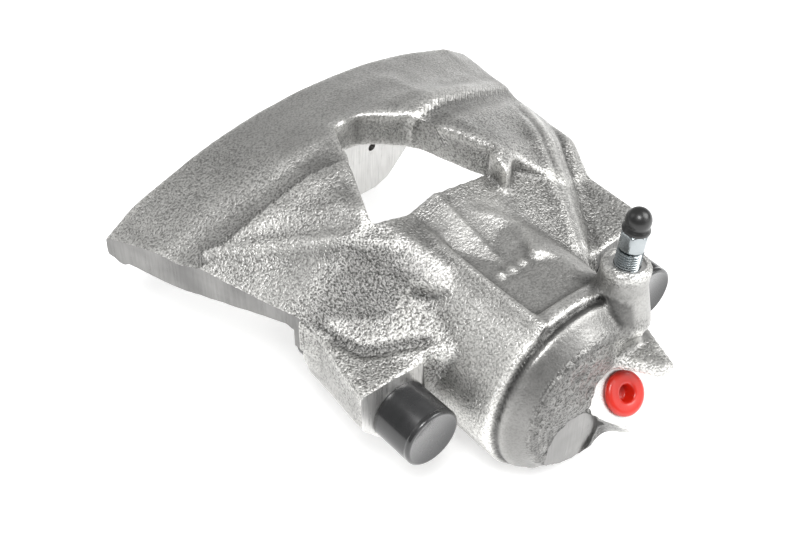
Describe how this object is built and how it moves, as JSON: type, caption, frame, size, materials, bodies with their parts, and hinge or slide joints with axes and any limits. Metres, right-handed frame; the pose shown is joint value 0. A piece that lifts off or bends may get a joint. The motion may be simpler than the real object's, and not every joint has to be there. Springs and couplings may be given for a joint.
{
  "type": "floating brake caliper",
  "caption": "Floating brake caliper: cast body with fingers that reach over the disc, piston in a cylinder, sliding guide pins, bleed screw and plugged hose port.",
  "frame": {"origin": "centre of the piston's pad face with the piston fully retracted", "axes": "+Y along the piston axis, outboard towards the fingers; +X from the left guide pin to the right guide pin; +Z radially outwards, away from the wheel axis"},
  "size_m": [0.18, 0.188, 0.1029],
  "materials": {
    "casting": "coarse sand-cast surface, machined faces bright",
    "piston_steel": "ground and plated",
    "seal_rubber": "matt black",
    "ring_steel": "plain",
    "bush_rubber": "matt black",
    "pin_steel": "turned and zinc plated",
    "cap_plastic": "satin black moulding",
    "zinc_steel": "bright zinc plate",
    "cap_rubber": "satin black",
    "plug_plastic": "translucent red moulding"
  },
  "bodies": {
    "housing": {"caliper_housing": "casting", "piston_seal": "seal_rubber", "dust_boot": "seal_rubber", "boot_retaining_ring": "ring_steel", "guide_bush_left": "bush_rubber", "guide_bush_right": "bush_rubber"},
    "piston": {"piston": "piston_steel"},
    "guide_pin_left": {"guide_pin_left": "pin_steel"},
    "guide_pin_right": {"guide_pin_right": "pin_steel"},
    "guide_cap_left": {"guide_cap_left": "cap_plastic"},
    "guide_cap_right": {"guide_cap_right": "cap_plastic"},
    "bleed_screw": {"bleed_screw": "zinc_steel"},
    "bleed_cap": {"bleed_cap": "cap_rubber"},
    "hose_port_plug": {"hose_port_plug": "plug_plastic"}
  },
  "joints": [
    {"name": "piston_slide", "type": "slide", "parent": "housing", "child": "piston", "axis": [0, 1, 0], "range_m": [0, 0.036]},
    {"name": "guide_pin_left_slide", "type": "slide", "parent": "housing", "child": "guide_pin_left", "axis": [0, 1, 0], "range_m": [0, 0.014]},
    {"name": "guide_pin_right_slide", "type": "slide", "parent": "housing", "child": "guide_pin_right", "axis": [0, 1, 0], "range_m": [0, 0.014]},
    {"name": "guide_cap_left_pull", "type": "slide", "parent": "housing", "child": "guide_cap_left", "axis": [0, -1, 0], "range_m": [0, 0.02]},
    {"name": "guide_cap_right_pull", "type": "slide", "parent": "housing", "child": "guide_cap_right", "axis": [0, -1, 0], "range_m": [0, 0.02]},
    {"name": "bleed_screw_turn", "type": "hinge", "parent": "housing", "child": "bleed_screw", "pos_m": [0.024, -0.077, 0.0435], "axis": [0.1564, 0, 0.9877], "range_deg": [0, 180]},
    {"name": "bleed_cap_pull", "type": "slide", "parent": "bleed_screw", "child": "bleed_cap", "axis": [0.1564, 0, 0.9877], "range_m": [0, 0.015]},
    {"name": "hose_port_plug_pull", "type": "slide", "parent": "housing", "child": "hose_port_plug", "axis": [0, -0.766, 0.6428], "range_m": [0, 0.0075]}
  ]
}
